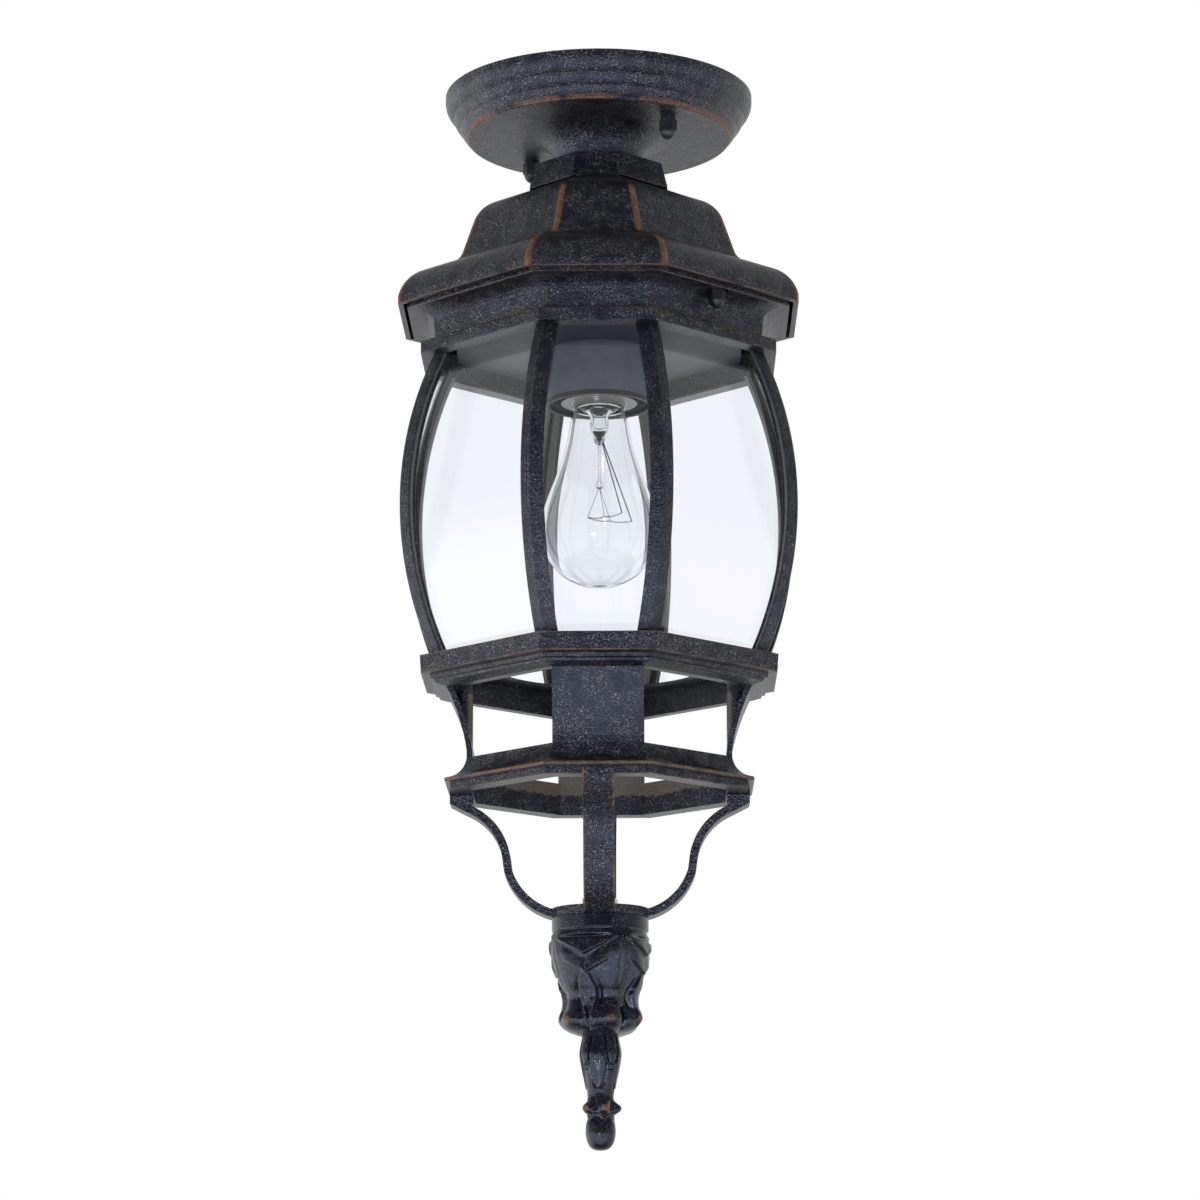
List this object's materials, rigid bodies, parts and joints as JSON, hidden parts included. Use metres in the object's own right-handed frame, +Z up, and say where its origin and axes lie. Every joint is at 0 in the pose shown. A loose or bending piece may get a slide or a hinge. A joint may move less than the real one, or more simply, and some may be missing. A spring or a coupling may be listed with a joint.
{
  "type": "ceiling lantern",
  "caption": "Octagonal porch ceiling lantern: dark ogee roof under a round canopy, bowed glass cage with a clear lamp, crown, open legs and leaf finial.",
  "frame": {"origin": "centre of the ceiling bar's screw pattern, on the lantern's axis in the ceiling plane", "axes": "+Z up out of the ceiling face, -Y towards the front narrow face, +X along the ceiling bar"},
  "size_m": [0.2032, 0.2032, 0.544],
  "materials": {
    "coated_iron": "textured dark blue-black powder coat with rubbed copper-brown edges",
    "cap_nut_black": "satin black plated steel",
    "washer_black": "satin black plated steel",
    "plated_steel": "zinc plated, slightly yellow",
    "eyelet_brass": "plain brass",
    "ground_green": "green plated screw",
    "baffle_coating": "dark satin coating",
    "holder_paint": "slate grey satin paint",
    "socket_ceramic": "white glazed porcelain",
    "shell_metal": "bare, lightly brushed",
    "contact_metal": "soldered brass",
    "lead_black": "soft matt insulation",
    "lead_white": "soft matt insulation",
    "pane_glass": "clear bent glass with bevelled edges",
    "bulb_glass": "clear blown glass",
    "filament_metal": "drawn wire"
  },
  "bodies": {
    "hanger": {"box_bar": "plated_steel", "stud_bar": "plated_steel", "bar_eyelet": "eyelet_brass", "ground_screw": "ground_green", "canopy": "coated_iron", "canopy_studs": "plated_steel", "stud_locknuts": "plated_steel", "centre_tube": "plated_steel", "canopy_tube_washer": "plated_steel", "tube_nuts": "plated_steel", "roof": "coated_iron", "cage_studs": "plated_steel", "baffle": "baffle_coating", "holder_cup": "holder_paint", "socket": "socket_ceramic", "screw_shell": "shell_metal", "centre_contact": "eyelet_brass", "lead_black": "lead_black", "lead_white": "lead_white"},
    "cage": {"top_frame": "coated_iron", "post_1": "coated_iron", "post_2": "coated_iron", "post_3": "coated_iron", "post_4": "coated_iron", "post_5": "coated_iron", "post_6": "coated_iron", "post_7": "coated_iron", "post_8": "coated_iron", "pane_narrow_1": "pane_glass", "pane_narrow_2": "pane_glass", "pane_narrow_3": "pane_glass", "pane_narrow_4": "pane_glass", "pane_wide_1": "pane_glass", "pane_wide_2": "pane_glass", "pane_wide_3": "pane_glass", "pane_wide_4": "pane_glass", "bottom_ring": "coated_iron", "bottom_plate": "coated_iron", "crown": "coated_iron", "crown_screws": "plated_steel", "basket": "coated_iron", "finial_cup": "coated_iron", "finial_tip": "coated_iron", "finial_rod": "plated_steel", "finial_nut": "plated_steel"},
    "bulb": {"bulb_glass": "bulb_glass", "bulb_base": "shell_metal", "bulb_contact": "contact_metal", "bulb_stem": "bulb_glass", "filament": "filament_metal"},
    "canopy_washer_front_body": {"canopy_washer_front": "washer_black"},
    "canopy_nut_front_body": {"canopy_nut_front": "cap_nut_black"},
    "canopy_washer_rear_body": {"canopy_washer_rear": "washer_black"},
    "canopy_nut_rear_body": {"canopy_nut_rear": "cap_nut_black"},
    "cage_washer_front_body": {"cage_washer_front": "washer_black"},
    "cage_nut_front_body": {"cage_nut_front": "cap_nut_black"},
    "cage_washer_rear_body": {"cage_washer_rear": "washer_black"},
    "cage_nut_rear_body": {"cage_nut_rear": "cap_nut_black"}
  },
  "joints": [
    {"name": "cage_lower", "type": "slide", "parent": "hanger", "child": "cage", "axis": [0, 0, -1], "range_m": [0, 0.15]},
    {"name": "canopy_washer_front_slide", "type": "slide", "parent": "hanger", "child": "canopy_washer_front_body", "axis": [0, 0, -1], "range_m": [0, 0.00794]},
    {"name": "canopy_nut_front_turn", "type": "hinge", "parent": "canopy_washer_front_body", "child": "canopy_nut_front_body", "pos_m": [0.03592, -0.03592, -0.03], "axis": [0, 0, -1], "range_deg": [0, 3600]},
    {"name": "canopy_washer_rear_slide", "type": "slide", "parent": "hanger", "child": "canopy_washer_rear_body", "axis": [0, 0, -1], "range_m": [0, 0.00794]},
    {"name": "canopy_nut_rear_turn", "type": "hinge", "parent": "canopy_washer_rear_body", "child": "canopy_nut_rear_body", "pos_m": [-0.03592, 0.03592, -0.03], "axis": [0, 0, -1], "range_deg": [0, 3600]},
    {"name": "cage_washer_front_slide", "type": "slide", "parent": "cage", "child": "cage_washer_front_body", "axis": [0, 0, -1], "range_m": [0, 0.00635]},
    {"name": "cage_nut_front_turn", "type": "hinge", "parent": "cage_washer_front_body", "child": "cage_nut_front_body", "pos_m": [0.05975, -0.05975, -0.125], "axis": [0, 0, -1], "range_deg": [0, 2880]},
    {"name": "cage_washer_rear_slide", "type": "slide", "parent": "cage", "child": "cage_washer_rear_body", "axis": [0, 0, -1], "range_m": [0, 0.00635]},
    {"name": "cage_nut_rear_turn", "type": "hinge", "parent": "cage_washer_rear_body", "child": "cage_nut_rear_body", "pos_m": [-0.05975, 0.05975, -0.125], "axis": [0, 0, -1], "range_deg": [0, 2880]},
    {"name": "bulb_turn", "type": "hinge", "parent": "hanger", "child": "bulb", "pos_m": [0, 0, -0.16], "axis": [0, 0, -1], "range_deg": [0, 1260]}
  ],
  "couplings": [
    {"joint": "canopy_nut_front_turn", "follows": "canopy_washer_front_slide", "rad_per_m": 7915},
    {"joint": "canopy_nut_rear_turn", "follows": "canopy_washer_rear_slide", "rad_per_m": 7915},
    {"joint": "cage_nut_front_turn", "follows": "cage_washer_front_slide", "rad_per_m": 7915},
    {"joint": "cage_nut_rear_turn", "follows": "cage_washer_rear_slide", "rad_per_m": 7915}
  ]
}
